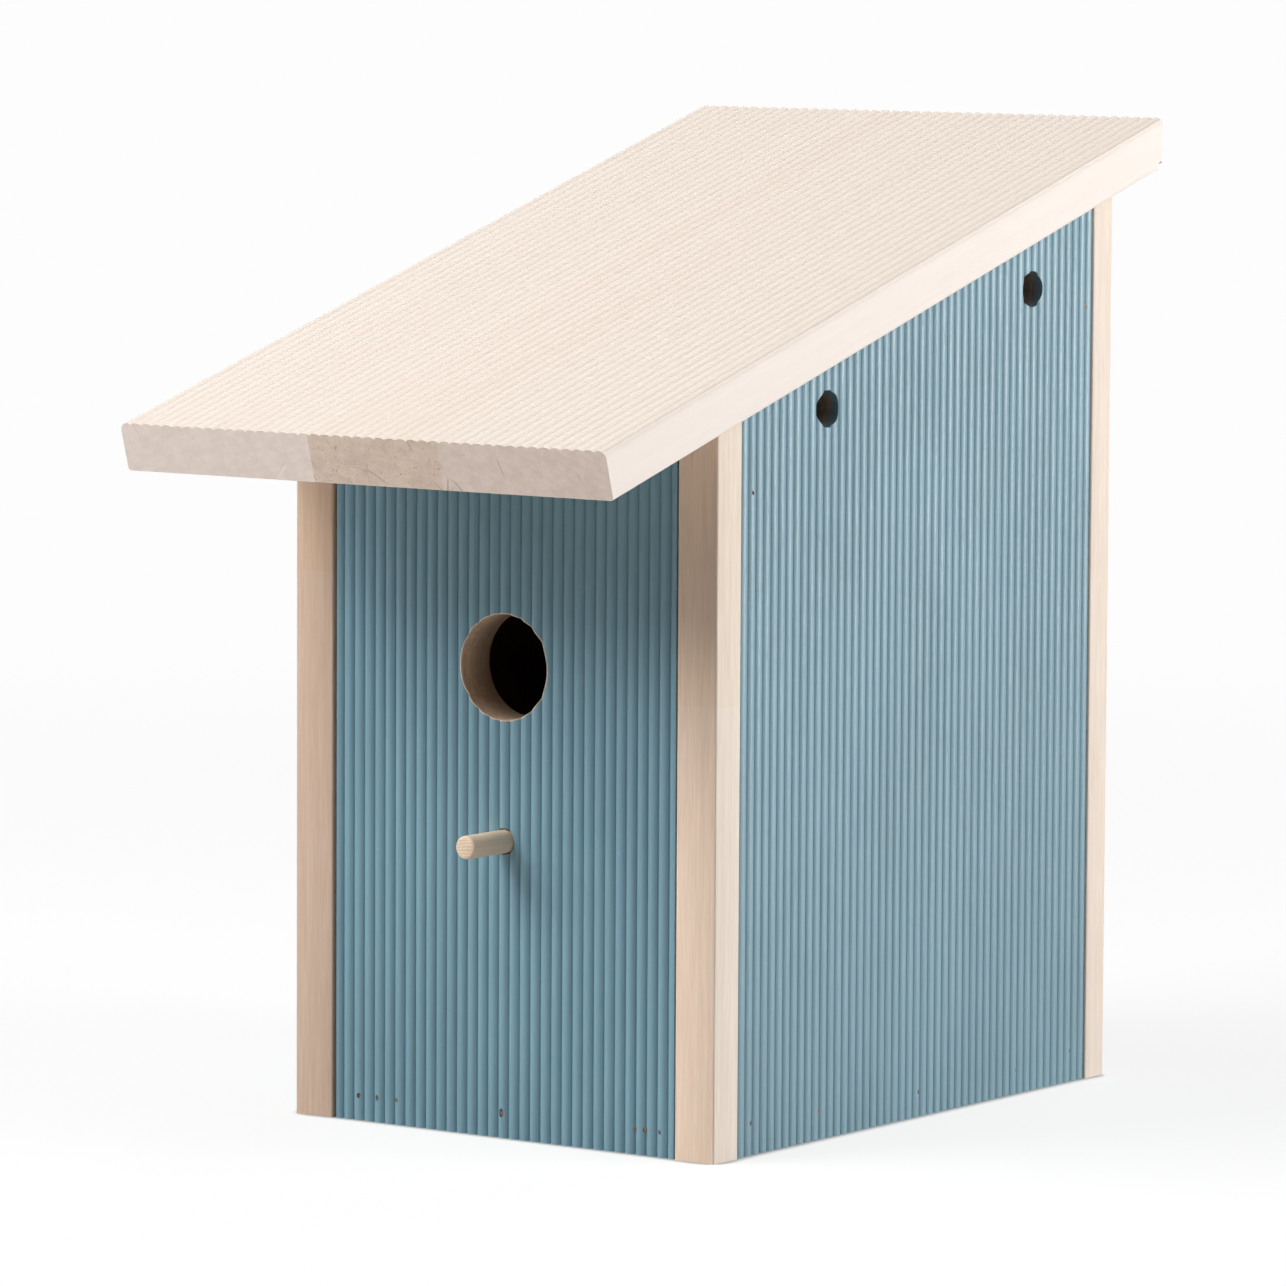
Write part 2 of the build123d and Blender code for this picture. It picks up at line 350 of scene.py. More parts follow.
def end_grain() -> bpy.types.NodeTree:
    """The figure of a board's sawn end: rings about a heart, open pores and a few checks. In millimetres.

    Returns:
        A group with Vector, Ring and Speck in, and Rings, Pores, Cracks and Height out. Rings lie about Z.
    """
    tree, g = group(
        "end_grain",
        {"Vector": "Vector", "Ring": "Float", "Speck": "Float"},
        {"Rings": "Float", "Pores": "Float", "Cracks": "Float", "Height": "Float"},
    )
    given = g.node("NodeGroupInput").outputs
    flat = g.place(given["Vector"], scale=(1, 1, 0))
    warp = g.noise(flat, 0.09, 2.0)
    far = g.vector("LENGTH", flat, result="Value")
    radius = g.math("ADD", far, g.math("MULTIPLY", warp, 6.0))
    phase = g.math("FRACT", g.math("DIVIDE", radius, given["Ring"]))
    rings = g.math("MULTIPLY", g.step(phase, 0.35, 0.9), g.step(phase, 1.0, 0.92))
    cells = g.node("ShaderNodeTexVoronoi", feature="F1")
    g.feed(cells.inputs["Vector"], flat)
    g.feed(cells.inputs["Scale"], 0.9)
    g.feed(cells.inputs["Randomness"], 1.0)
    clumps = g.step(g.noise(flat, 0.35, 3.0), 0.46, 0.64)
    dots = g.step(cells.outputs["Distance"], 0.3, 0.12)
    pores = g.math("MULTIPLY", g.math("MULTIPLY", dots, clumps), given["Speck"], clamp=True)
    checks = g.node("ShaderNodeTexVoronoi", feature="DISTANCE_TO_EDGE")
    g.feed(checks.inputs["Vector"], g.place(flat, scale=(1, 0.45, 1), turn=(0, 0, 0.35)))
    g.feed(checks.inputs["Scale"], 0.085)
    here = g.step(g.noise(flat, 0.07, 2.0), 0.52, 0.64)
    cracks = g.math("MULTIPLY", g.step(checks.outputs["Distance"], 0.022, 0.004), here)
    fuzz = g.noise(flat, 2.2, 4.0, 0.7)
    height = g.math("SUBTRACT", g.math("MULTIPLY", fuzz, 0.8), g.math("ADD", pores, cracks))
    hand_out(g, Rings=rings, Pores=pores, Cracks=cracks, Height=height)
    return tree


def calm_ribs() -> bpy.types.NodeTree:
    """Evens out the shading of worn ribs towards the plane that they lie in.

    Returns:
        A group with Flat, the plane's normal, and Amount in, and Normal out. Faces that turn away are kept.
    """
    tree, g = group("calm_ribs", {"Flat": "Vector", "Amount": "Float"}, {"Normal": "Vector"})
    given = g.node("NodeGroupInput").outputs
    own = g.node("ShaderNodeNewGeometry").outputs["Normal"]
    facing = g.vector("DOT_PRODUCT", own, given["Flat"], result="Value")
    share = g.math("MULTIPLY", g.step(facing, 0.7, 0.8), given["Amount"])
    blend = g.node("ShaderNodeMix", data_type="VECTOR")
    g.feed(blend.inputs["Factor"], share)
    g.feed(blend.inputs[4], own)
    g.feed(blend.inputs[5], given["Flat"])
    hand_out(g, Normal=g.vector("NORMALIZE", blend.outputs[1]))
    return tree


class Kit:
    """The shared node groups, each made once.

    Attributes:
        groups: The groups made so far, by key.
        makers: What makes each group, by key.
    """

    groups: dict[str, bpy.types.NodeTree] = {}
    makers: dict[str, Callable[[], bpy.types.NodeTree]] = {
        "long": long_grain, "end": end_grain, "calm": calm_ribs,
    }

    @classmethod
    def use(cls, graph: Graph, name: str, **inputs: object) -> dict[str, Socket]:
        """Places a shared group in a tree.

        Args:
            graph: The tree's graph.
            name: The group's key.
            **inputs: Values or sockets for the group's inputs.

        Returns:
            The group's outputs by name.
        """
        if name not in cls.groups:
            cls.groups[name] = cls.makers[name]()
        placed = graph.node("ShaderNodeGroup", node_tree=cls.groups[name])
        for label, value in inputs.items():
            graph.feed(placed.inputs[label], value)
        return {socket.name: socket for socket in placed.outputs}


def material(name: str) -> tuple[bpy.types.Material, Graph, bpy.types.Node, Socket]:
    """Makes a material with a Principled shader.

    Args:
        name: The material's name.

    Returns:
        The material, its graph, its shader and its object coordinates in millimetres.
    """
    made = bpy.data.materials.new(name)
    made.use_nodes = True
    g = Graph(made.node_tree)
    g.tree.nodes.clear()
    shader = g.node("ShaderNodeBsdfPrincipled")
    g.feed(g.node("ShaderNodeOutputMaterial").inputs["Surface"], shader.outputs["BSDF"])
    place = g.node("ShaderNodeTexCoord").outputs["Object"]
    return made, g, shader, g.vector("MULTIPLY", place, (1 / MM, 1 / MM, 1 / MM))


def shade(colour: Colour, share: float, lift: float = 0.0) -> Colour:
    """A colour made darker or lighter by a share, then lifted."""
    return tuple(c * share + lift for c in colour)


def between(a: Colour, b: Colour, share: float) -> Colour:
    """The colour that lies a share of the way from a to b."""
    return tuple((1 - share) * x + share * y for x, y in zip(a, b))


# ---- finishes ----


@dataclass(frozen=True)
class BareWood:
    """A planed board with its fibres along one direction.

    Attributes:
        name: The material's name.
        light: The palest colour.
        dark: The colour of the late wood.
        along: The turn that brings the fibres to Z.
        width: The width of a grain line, in millimetres.
        seed: Moves the figure.
        contrast: How much the grain lines show.
        clouds: How much the tone drifts.
        rough: The surface's roughness.
        change: Height in millimetres of a finger joint, above which the tone changes, or None.
        warm: The tint above the finger joint: partly the other board's tone, partly painted shade under the
            roof.
        outer: How far out in X, in millimetres, the wood turns greyer, or None.
        grey: The tint beyond it: partly paler wood, partly painted sheen.
        joint: How wide the blend is at each change of tone, in millimetres.
        calm: The normal of a plane of worn ribs, or None.
    """

    name: str
    light: Colour
    dark: Colour
    along: tuple[float, float, float] = (0.0, 0.0, 0.0)
    width: float = 1.1
    seed: float = 0.0
    contrast: float = 0.5
    clouds: float = 0.55
    rough: float = 0.62
    change: float | None = None
    warm: Colour = (1.0, 1.0, 1.0)
    outer: float | None = None
    grey: Colour = (0.8, 0.9, 0.99)
    joint: float = 0.3
    calm: tuple[float, float, float] | None = None

    def build(self) -> bpy.types.Material:
        """Makes the material.

        Returns:
            The material.
        """
        made, g, shader, mm = material(self.name)
        turned = g.place(mm, turn=self.along)
        grain = Kit.use(g, "long", Vector=turned, Width=self.width, Seed=self.seed)
        tone = g.step(grain["Tone"], 0.3, 0.7)
        colour = g.stain(self.light, tone, self.clouds, between(self.light, self.dark, 0.5))
        colour = g.stain(colour, grain["Lines"], self.contrast, self.dark)
        colour = g.stain(colour, grain["Pores"], self.contrast * 0.5, self.dark)
        parts = g.parts(mm)
        for along, level, tint in (("Z", self.change, self.warm), ("X", self.outer, self.grey)):
            if level is not None:
                beyond = g.step(parts[along], level - self.joint / 2, level + self.joint / 2)
                colour = g.mix(beyond, colour, g.mix(1.0, colour, tint, "MULTIPLY"))
        g.feed(shader.inputs["Base Color"], colour)
        g.feed(shader.inputs["Roughness"], self.rough)
        under = Kit.use(g, "calm", Flat=self.calm, Amount=0.93)["Normal"] if self.calm else None
        g.feed(shader.inputs["Normal"], g.bump(grain["Height"], 0.35, 0.12 * MM, under))
        return made


@dataclass(frozen=True)
class EndGrain:
    """A sawn end across the fibres.

    Attributes:
        name: The material's name.
        light: The colour of the early wood.
        dark: The colour of rings and pores.
        heart: Where the tree's heart lies, in millimetres, in the turned frame.
        along: The turn that brings the fibres to Z.
        ring: The distance between rings, in millimetres.
        speck: How many pores show.
        checked: How much the drying cracks show.
        ringed: How much the rings show.
    """

    name: str
    light: Colour
    dark: Colour
    heart: tuple[float, float]
    along: tuple[float, float, float] = (0.0, 0.0, 0.0)
    ring: float = 3.2
    speck: float = 0.6
    checked: float = 0.5
    ringed: float = 0.06

    def build(self) -> bpy.types.Material:
        """Makes the material.

        Returns:
            The material.
        """
        made, g, shader, mm = material(self.name)
        turned = g.place(mm, turn=self.along)
        centred = g.place(turned, shift=(-self.heart[0], -self.heart[1], 0))
        ends = Kit.use(g, "end", Vector=centred, Ring=self.ring, Speck=self.speck)
        cloud = g.noise(turned, 0.22, 4.0, 0.6)
        colour = g.mix(g.step(cloud, 0.3, 0.7), self.light, between(self.light, self.dark, 0.2))
        grit = g.step(g.noise(turned, 1.6, 3.0, 0.7), 0.56, 0.7)
        masks = (
            (grit, 0.3 * (1 + self.speck)), (ends["Rings"], self.ringed), (ends["Pores"], 0.85),
            (ends["Cracks"], self.checked),
        )
        for mask, amount in masks:
            colour = g.stain(colour, mask, amount, self.dark)
        g.feed(shader.inputs["Base Color"], colour)
        g.feed(shader.inputs["Roughness"], 0.85)
        g.feed(shader.inputs["Normal"], g.bump(ends["Height"], 0.5, 0.15 * MM))
        return made


@dataclass(frozen=True)
class Bore:
    """The wall of a drilled hole: bare wood, or wood with paint run in, with painted shade that darkens it
    with depth.

    Attributes:
        name: The material's name.
        wood: The wood's colour at the mouth.
        dark: The colour of its grain lines.
        paint: The colour of the paint that has run in.
        painted: How deep the paint has run in, in millimetres.
        axis: The axis of the hole, 0 for X and 1 for Y.
        mouth: How far the mouth lies from the middle of the box along that axis, in millimetres.
        depth: The depth at which the painted shade is darkest, in millimetres.
        deep: How much darker the painted shade makes it there.
    """

    name: str
    wood: Colour
    dark: Colour
    paint: Colour
    painted: float
    axis: int
    mouth: float
    depth: float = 15.0
    deep: float = 0.6

    def build(self) -> bpy.types.Material:
        """Makes the material.

        Returns:
            The material.
        """
        made, g, shader, mm = material(self.name)
        grain = Kit.use(g, "long", Vector=mm, Width=0.8, Seed=9.0)
        colour = g.stain(self.wood, grain["Lines"], 0.55, self.dark)
        inward = g.math("SUBTRACT", self.mouth, g.math("ABSOLUTE", g.parts(mm)[self.axis]))
        if self.painted:
            run = g.math("ADD", inward, g.math("MULTIPLY", g.noise(mm, 0.4, 3.0), -self.painted))
            colour = g.mix(g.step(run, self.painted, 0.0), colour, self.paint)
        # painted shade: the wall turns darker with depth into the hole
        colour = g.stain(colour, g.step(inward, 0.0, self.depth), self.deep, shade(self.dark, 0.25))
        g.feed(shader.inputs["Base Color"], colour)
        g.feed(shader.inputs["Roughness"], 0.8)
        g.feed(shader.inputs["Normal"], g.bump(grain["Height"], 0.5, 0.2 * MM))
        return made


@dataclass(frozen=True)
class Paint:
    """Satin paint on a ribbed board, with the grain showing through and a bare rim at the holes.

    Attributes:
        name: The material's name.
        across: The axis along which the ribs repeat, 0 for X and 1 for Y.
        shift: The share of a pitch that brings a groove to the middle of the pitch.
        holes: The centre, as across and height, and the radius of each hole, in millimetres.
        colour: The paint's colour.
        seed: Moves the figure.
        bare: How far the paint is torn back around the holes, in millimetres.
        wood: The bare wood where it is torn back.
        worn: The colour of rubbed specks on the crests.
        groove_shade: The share of each channel that is left in the grooves, as painted shade.
    """

    name: str
    across: int
    shift: float
    holes: tuple[tuple[float, float, float], ...]
    colour: Colour = (0.178, 0.33, 0.405)
    seed: float = 0.0
    bare: float = 0.6
    wood: Colour = (0.8, 0.62, 0.47)
    worn: Colour = (0.42, 0.5, 0.52)
    groove_shade: Colour = (0.4, 0.55, 0.62)

    def build(self) -> bpy.types.Material:
        """Makes the material.

        Returns:
            The material.
        """
        made, g, shader, mm = material(self.name)
        grain = Kit.use(g, "long", Vector=mm, Width=0.9, Seed=self.seed)
        axes = g.parts(mm)
        u, z = axes[self.across], axes["Z"]
        patch = g.noise(g.place(mm, scale=(0.02, 0.02, 0.012)), 1.0, 3.0)
        light, dark = shade(self.colour, 1.06, 0.006), shade(self.colour, 0.95)
        colour = g.mix(g.step(patch, 0.3, 0.7), dark, light)
        streak = g.noise(g.place(mm, scale=(0.3, 0.3, 0.005)), 1.0, 2.0)
        colour = g.stain(colour, g.step(streak, 0.4, 0.65), 0.3, shade(self.colour, 0.82))
        colour = g.stain(colour, grain["Lines"], 0.2, light)
        colour = g.stain(colour, grain["Pores"], 0.3, dark)
        phase = g.math("FRACT", g.math("ADD", g.math("DIVIDE", u, RIB_PITCH / MM), self.shift))
        groove = g.math("ABSOLUTE", g.math("SUBTRACT", phase, 0.5))
        # painted shade in the grooves between the ribs
        deep = tuple(c * share for c, share in zip(self.colour, self.groove_shade))
        colour = g.stain(colour, g.step(groove, 0.13, 0.02), 0.45, deep)
        specks = g.noise(g.place(mm, scale=(1.0, 1.0, 0.5)), 1.6, 2.0)
        rubbed = g.math("MULTIPLY", g.step(specks, 0.69, 0.74), g.step(groove, 0.25, 0.4))
        colour = g.stain(colour, rubbed, 0.35, self.worn)
        ragged = g.math("MULTIPLY", g.noise(mm, 1.1, 3.0), self.bare)
        for centre_u, centre_z, radius in self.holes:
            du = g.math("SUBTRACT", u, centre_u)
            dz = g.math("SUBTRACT", z, centre_z)
            away = g.math("SQRT", g.math("ADD", g.math("POWER", du, 2.0), g.math("POWER", dz, 2.0)))
            inside = g.math("LESS_THAN", g.math("SUBTRACT", away, ragged), radius)
            colour = g.mix(inside, colour, self.wood)
        g.feed(shader.inputs["Base Color"], colour)
        g.feed(shader.inputs["Roughness"], g.math("ADD", 0.32, g.math("MULTIPLY", grain["Lines"], 0.1)))
        g.feed(shader.inputs["Specular IOR Level"], 0.65)
        relief = g.math("ADD", grain["Height"], g.math("MULTIPLY", g.noise(mm, 1.4, 2.0), 0.8))
        g.feed(shader.inputs["Normal"], g.bump(relief, 0.4, 0.1 * MM))
        return made


@dataclass(frozen=True)
class Metal:
    """Dull steel with a mottled surface.

    Attributes:
        name: The material's name.
        colour: The metal's colour.
        stain: The colour of the stained patches.
        rough: The roughness of the clean metal.
        stained: How much of it is stained.
    """

    name: str
    colour: Colour
    stain: Colour
    rough: float = 0.38
    stained: float = 0.4

    def build(self) -> bpy.types.Material:
        """Makes the material.

        Returns:
            The material.
        """
        made, g, shader, mm = material(self.name)
        patches = g.step(g.noise(mm, 1.8, 3.0), 0.62 - self.stained * 0.3, 0.72 - self.stained * 0.2)
        g.feed(shader.inputs["Base Color"], g.mix(patches, self.colour, self.stain))
        g.feed(shader.inputs["Metallic"], g.math("SUBTRACT", 1.0, patches))
        g.feed(shader.inputs["Roughness"], g.math("ADD", self.rough, g.math("MULTIPLY", patches, 0.35)))
        return made


# ---- modelling ----


def outline_face(bm: bmesh.types.BMesh, points: Iterable[Vector], chain: list[bmesh.types.BMVert]) -> None:
    """Closes a chain of edges with straight ones through some points, and fills the outline.

    Args:
        bm: The mesh, which holds only the chain.
        points: The outline's other corners, in order from the chain's end back to its start.
        chain: The chain's end vertex and its start vertex.
    """
    corners = [chain[0]] + [bm.verts.new(p) for p in points] + [chain[1]]
    for a, b in zip(corners, corners[1:]):
        bm.edges.new((a, b))
    bmesh.ops.contextual_create(bm, geom=bm.edges[:])


@dataclass
class RibRow:
    """A row of half-round ribs along X, with their crests towards +Y.

    Attributes:
        start: Where the row begins.
        stop: Where the row ends.
        pitch: The width of a rib.
        phase: Where one groove lies.
        depth: The height of a crest over a groove.
        crest: The Y of the crests.
        steps: How many flats make one rib.
    """

    start: float
    stop: float
    pitch: float
    phase: float
    depth: float
    crest: float
    steps: int = 8

    def draw(self, bm: bmesh.types.BMesh) -> tuple[bmesh.types.BMVert, bmesh.types.BMVert]:
        """Draws the row as a chain of edges.

        Args:
            bm: An empty mesh.

        Returns:
            The chain's right end and its left end.
        """
        half = self.pitch / 2
        radius = (half**2 + self.depth**2) / (2 * self.depth)
        first = math.floor((self.start - self.phase) / self.pitch)
        last = math.ceil((self.stop - self.phase) / self.pitch)
        groove = self.phase + first * self.pitch
        seed = bm.verts.new((groove, self.crest - self.depth, 0))
        bmesh.ops.spin(
            bm, geom=[seed], cent=(groove + half, self.crest - radius, 0), axis=(0, 0, 1),
            angle=-2 * math.asin(half / radius), steps=self.steps, use_merge=False, use_duplicate=False,
        )
        rib = bm.verts[:] + bm.edges[:]
        for k in range(1, last - first):
            copy = bmesh.ops.duplicate(bm, geom=rib)["geom"]
            verts = [v for v in copy if isinstance(v, bmesh.types.BMVert)]
            bmesh.ops.translate(bm, verts=verts, vec=(k * self.pitch, 0, 0))
        bmesh.ops.remove_doubles(bm, verts=bm.verts[:], dist=WELD)
        for x, way in ((self.start, -1), (self.stop, 1)):
            bmesh.ops.bisect_plane(
                bm, geom=bm.verts[:] + bm.edges[:], plane_co=(x, 0, 0), plane_no=(way, 0, 0), clear_outer=True
            )
        return max(bm.verts, key=lambda v: v.co.x), min(bm.verts, key=lambda v: v.co.x)


def raise_outline(bm: bmesh.types.BMesh, length: float, rows: int) -> None:
    """Extrudes a flat outline along +Z into a solid with level rows of faces.

    Args:
        bm: The mesh, which holds only the outline's face.
        length: How far it goes.
        rows: How many rows of faces it gets.
    """
    grown = bmesh.ops.extrude_face_region(bm, geom=bm.faces[:])["geom"]
    verts = [v for v in grown if isinstance(v, bmesh.types.BMVert)]
    bmesh.ops.translate(bm, verts=verts, vec=(0, 0, length))
    upright = [e for e in bm.edges if abs(e.verts[0].co.z - e.verts[1].co.z) > length / 2]
    bmesh.ops.subdivide_edges(bm, edges=upright, cuts=rows - 1, use_grid_fill=True)
    bmesh.ops.recalc_face_normals(bm, faces=bm.faces[:])


def saw(bm: bmesh.types.BMesh, point: Vector, normal: Vector) -> None:
    """Cuts off what lies beyond a plane and closes the cut.

    Args:
        bm: A closed mesh.
        point: A point of the plane.
        normal: The plane's normal, towards what falls away.
    """
    geom = bm.verts[:] + bm.edges[:] + bm.faces[:]
    cut = bmesh.ops.bisect_plane(bm, geom=geom, plane_co=point, plane_no=normal, clear_outer=True)
    edges = [e for e in cut["geom_cut"] if isinstance(e, bmesh.types.BMEdge)]
    bmesh.ops.contextual_create(bm, geom=edges)
    bmesh.ops.recalc_face_normals(bm, faces=bm.faces[:])


def rod(
    bm: bmesh.types.BMesh, radii: tuple[float, float], length: float, sides: int, place: Matrix,
    index: int = 0,
) -> None:
    """Adds a closed bar along Z, centred, and moves it to its place.

    Args:
        bm: The mesh.
        radii: The radius at the low and at the high end.
        length: The bar's length.
        sides: How many sides it has.
        place: Where it goes.
        index: The material index of its faces, which a carved hollow keeps.
    """
    made = bmesh.ops.create_cone(
        bm, cap_ends=True, cap_tris=False, segments=sides, radius1=radii[0], radius2=radii[1],
        depth=length, matrix=place,
    )
    for face in {f for v in made["verts"] for f in v.link_faces}:
        face.material_index = index


def carve(bm: bmesh.types.BMesh, tool: bmesh.types.BMesh) -> bmesh.types.BMesh:
    """Takes one closed mesh away from another.

    Args:
        bm: The mesh to cut, which is used up.
        tool: The mesh to take away, which is used up.

    Returns:
        What is left.
    """
    objects = []
    for source in (bm, tool):
        mesh = bpy.data.meshes.new("carving")
        source.to_mesh(mesh)
        source.free()
        for _ in range(SLOTS):
            mesh.materials.append(None)
        objects.append(bpy.data.objects.new("carving", mesh))
        bpy.context.scene.collection.objects.link(objects[-1])
    work, cutter = objects
    modifier = work.modifiers.new("carve", "BOOLEAN")
    modifier.operation, modifier.solver, modifier.object = "DIFFERENCE", "EXACT", cutter
    depsgraph = bpy.context.evaluated_depsgraph_get()
    carved = bpy.data.meshes.new_from_object(work.evaluated_get(depsgraph))
    result = bmesh.new()
    result.from_mesh(carved)
    bpy.data.meshes.remove(carved)
    for thing in objects:
        mesh = thing.data
        bpy.data.objects.remove(thing)
        bpy.data.meshes.remove(mesh)
    return result


def piece(
    bm: bmesh.types.BMesh, name: str, nodes: Sequence[str], body: str,
    finishes: Sequence[bpy.types.Material],
) -> bpy.types.Object:
    """Turns a mesh into a piece that stands for CAD nodes.

    Args:
        bm: The finished mesh, which is used up.
        name: The piece's name.
        nodes: The CAD nodes that it stands for.
        body: The body that it rides on.
        finishes: The materials, by material index.

    Returns:
        The new object.
    """
    mesh = bpy.data.meshes.new(name)
    bm.to_mesh(mesh)
    bm.free()
    mesh.shade_smooth()
    mesh.set_sharp_from_angle(angle=SMOOTH_BELOW)
    for finish in finishes:
        mesh.materials.append(finish)
    made = bpy.data.objects.new(name, mesh)
    bpy.context.scene.collection.objects.link(made)
    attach(made, body)
    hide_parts(*nodes)
    log.info("%s: %d faces on %s", name, len(mesh.polygons), body)
    return made


def islands(node: str) -> list[tuple[Vector, Vector]]:
    """The boxes of the separate solids in a CAD node.

    Args:
        node: The node's name.

    Returns:
        The lowest and the highest corner of each solid.
    """
    bm = bmesh.new()
    bm.from_mesh(frame["nodes"][node].data)
    bmesh.ops.remove_doubles(bm, verts=bm.verts[:], dist=WELD)
    left, boxes = set(bm.verts), []
    while left:
        front, found = [left.pop()], []
        while front:
            vert = front.pop()
            found.append(vert.co.copy())
            near = {e.other_vert(vert) for e in vert.link_edges} & left
            left -= near
            front += near
        low = Vector(map(min, *found))
        boxes.append((low, Vector(map(max, *found))))
    bm.free()
    return sorted(boxes, key=lambda box: tuple(box[0]))


# ---- walls ----


def opening(name: str) -> Vector:
    """Finds an opening of the record.

    Args:
        name: The opening's name.

    Returns:
        Its middle.
    """
    found = next(o for o in frame["record"]["physics"]["openings"] if o["name"] == name)
    low, high = (Vector(corner) for corner in found["box_m"])
    return (low + high) / 2


def pitch_plane() -> tuple[Vector, Vector]:
    """A point on the sloping tops of the walls, and the slope's normal."""
    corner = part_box("front_left_post")[1]
    return Vector((0, corner.y, corner.z)), Vector((0, -math.sin(SLOPE), math.cos(SLOPE)))


@dataclass
class Wall:
    """A ribbed, painted wall with its holes and nail dents.

    Attributes:
        node: The CAD node that it stands for.
        facing: Which way its ribs face.
        row: The row of ribs, drawn facing the back.
        outline: The corners behind the ribs, from their right end round to their left end.
        bores: The centre and radius of each hole, square to the wall.
        nails: The CAD node of its nails.
        row_height: The height of a row of faces.
        dent: The radius of the dent over a nail.
        dent_depth: The length of the bit that makes the dent, from its bottom outwards.
        nail_free: How much of the nail stands free in the dent.
    """

    node: str
    facing: Facing
    row: RibRow
    outline: list[tuple[float, float]]
    bores: list[tuple[Vector, float]]
    nails: str
    row_height: float = 5 * MM
    dent: float = 0.85 * MM
    dent_depth: float = 2.4 * MM
    nail_free: float = 0.4 * MM

    @property
    def outward(self) -> Vector:
        """The direction in which the ribs face."""
        return self.facing.turn.to_3x3() @ Vector((0, 1, 0))

    def tools(self) -> bmesh.types.BMesh:
        """Shapes the bars that bore the holes and the ragged bits that sink the nails.

        Returns:
            The mesh to take away from the wall.
        """
        tool = bmesh.new()
        lying = self.facing.turn @ Matrix.Rotation(math.pi / 2, 4, "X")
        for centre, radius in self.bores:
            rod(tool, (radius, radius), BORE_LENGTH, 96, Matrix.Translation(centre) @ lying, BORED)
        chance = random.Random(self.node)
        for low, high in islands(self.nails):
            middle, length = (low + high) / 2, abs(self.outward.dot(high - low))
            bottom = middle + self.outward * (length / 2 - self.nail_free)
            central = abs(middle.x) < 2 * MM and self.facing is Facing.FRONT
            size = self.dent * (1.4 if central else chance.uniform(0.7, 1.1))
            stretch = Matrix.Diagonal((1.0, chance.uniform(1.1, 1.5), 1.0, 1.0))
            twist = Matrix.Rotation(chance.uniform(-0.4, 0.4), 4, "Z")
            place = Matrix.Translation(bottom + self.outward * self.dent_depth / 2) @ lying @ twist @ stretch
            rod(tool, (size, size * 0.8), self.dent_depth, 9, place, DENTED)
        return tool

    def build(self, finishes: Sequence[bpy.types.Material]) -> bpy.types.Object:
        """Makes the wall.

        Args:
            finishes: The paint, the bored wood, the sawn inner wood and the wood in the nail dents.

        Returns:
            The piece.
        """
        bm = bmesh.new()
        ends = self.row.draw(bm)
        outline_face(bm, [Vector((x, y, 0)) for x, y in self.outline], list(ends))
        rows = math.ceil(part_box(self.node)[1].z / self.row_height) + 1
        raise_outline(bm, rows * self.row_height, rows)
        bm.transform(self.facing.turn)
        saw(bm, *pitch_plane())
        bm = carve(bm, self.tools())
        skin = self.row.crest - SHADOW_DEPTH
        for face in bm.faces:
            if face.material_index == 0 and self.outward.dot(face.calc_center_median()) < skin:
                face.material_index = SAWN
        return piece(bm, self.node + "_ribbed", [self.node], "box", finishes)


